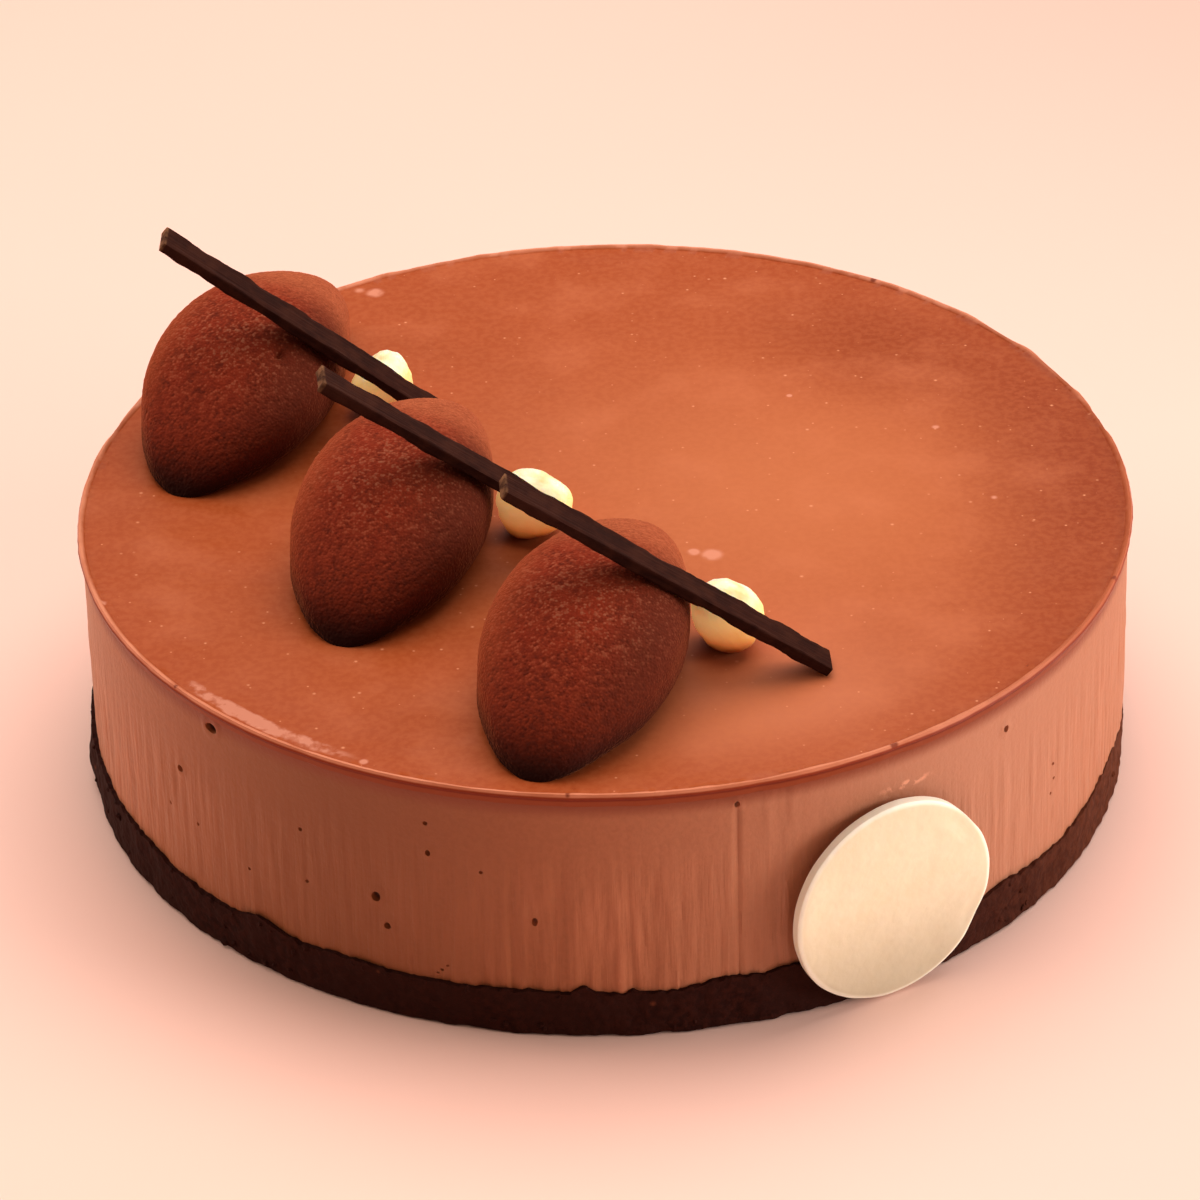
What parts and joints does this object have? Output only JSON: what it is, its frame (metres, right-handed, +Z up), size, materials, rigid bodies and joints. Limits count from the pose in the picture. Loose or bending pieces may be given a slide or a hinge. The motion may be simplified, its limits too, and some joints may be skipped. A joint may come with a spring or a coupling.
{
  "type": "hazelnut cheesecake",
  "caption": "Whole round cheesecake: dark biscuit base, nut cream and caramel glaze, topped with cocoa-dusted quenelles, chocolate sticks and blanched hazelnuts, a bare plaque at its side.",
  "frame": {"origin": "centre of the flat underside of the biscuit base", "axes": "+Z up, -Y towards the front, +X to the right; the toppings run in a row from the back left to the front, and the plaque stands at the front right"},
  "size_m": [0.1809, 0.1808, 0.0862],
  "materials": {
    "biscuit": "moist, rough, dark cocoa biscuit",
    "cream": "smooth set cream with fine vertical streaks, satin",
    "glaze": "thin caramel-coloured glaze with tiny pale specks, soft gloss",
    "cocoa_velvet": "matt cocoa dust with a fine grain",
    "dark_chocolate": "dark chocolate, satin",
    "blanched_nut": "blanched nut, pale on top and toasted below, satin",
    "white_chocolate": "ivory white chocolate, bare, satin"
  },
  "bodies": {
    "root": {"biscuit_base": "biscuit", "hazelnut_cream": "cream", "glaze": "glaze", "quenelle_1": "cocoa_velvet", "quenelle_2": "cocoa_velvet", "quenelle_3": "cocoa_velvet", "chocolate_stick_1": "dark_chocolate", "chocolate_stick_2": "dark_chocolate", "chocolate_stick_3": "dark_chocolate", "hazelnut_1": "blanched_nut", "hazelnut_2": "blanched_nut", "hazelnut_3": "blanched_nut", "white_plaque": "white_chocolate"}
  },
  "joints": []
}
